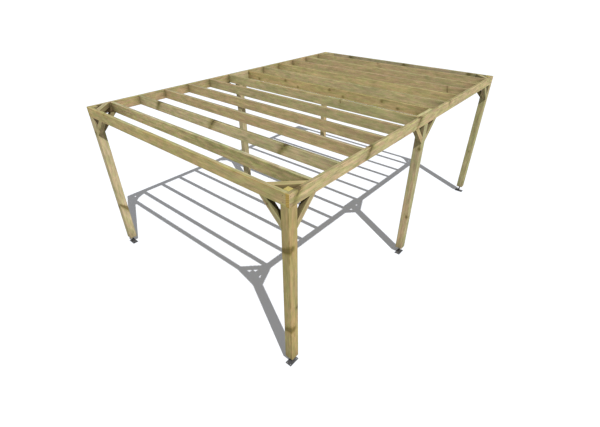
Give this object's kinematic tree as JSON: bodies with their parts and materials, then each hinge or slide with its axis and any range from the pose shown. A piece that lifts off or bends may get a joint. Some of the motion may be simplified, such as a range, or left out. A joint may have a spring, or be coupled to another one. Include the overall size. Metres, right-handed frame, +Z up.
{
  "type": "freestanding timber pergola",
  "caption": "Flat-roofed open timber pergola on square posts with steel feet, knee braces and flat corner braces; rafters flush inside a plank frame.",
  "frame": {"origin": "middle of the plan, on the ground under the steel feet", "axes": "+Z up; +Y along the long side, from the front end to the back end; +X to the right, along the rafters"},
  "size_m": [4.127, 6.037, 2.555],
  "materials": {
    "post_timber": "planed softwood, pressure treated, matt",
    "beam_timber": "planed softwood, pressure treated, matt",
    "brace_timber": "planed softwood, pressure treated, matt",
    "foot_steel": "dark grey powder coat, satin"
  },
  "bodies": {
    "root": {"post_front_left": "post_timber", "post_front_right": "post_timber", "post_middle_left": "post_timber", "post_middle_right": "post_timber", "post_back_left": "post_timber", "post_back_right": "post_timber", "foot_front_left": "foot_steel", "foot_front_right": "foot_steel", "foot_middle_left": "foot_steel", "foot_middle_right": "foot_steel", "foot_back_left": "foot_steel", "foot_back_right": "foot_steel", "side_beam_left": "beam_timber", "side_beam_right": "beam_timber", "end_beam_front": "beam_timber", "end_beam_back": "beam_timber", "backing_plank_left": "beam_timber", "backing_plank_right": "beam_timber", "rafter_01": "beam_timber", "rafter_02": "beam_timber", "rafter_03": "beam_timber", "rafter_04": "beam_timber", "rafter_05": "beam_timber", "rafter_06": "beam_timber", "rafter_07": "beam_timber", "rafter_08": "beam_timber", "rafter_09": "beam_timber", "rafter_10": "beam_timber", "rafter_11": "beam_timber", "rafter_12": "beam_timber", "knee_brace_front_left_end": "brace_timber", "knee_brace_front_left_side": "brace_timber", "knee_brace_front_right_end": "brace_timber", "knee_brace_front_right_side": "brace_timber", "knee_brace_middle_left_front": "brace_timber", "knee_brace_middle_left_back": "brace_timber", "knee_brace_middle_right_front": "brace_timber", "knee_brace_middle_right_back": "brace_timber", "knee_brace_back_left_end": "brace_timber", "knee_brace_back_left_side": "brace_timber", "knee_brace_back_right_end": "brace_timber", "knee_brace_back_right_side": "brace_timber", "corner_brace_front_left": "brace_timber", "corner_brace_front_right": "brace_timber", "corner_brace_back_left": "brace_timber", "corner_brace_back_right": "brace_timber"}
  },
  "joints": []
}
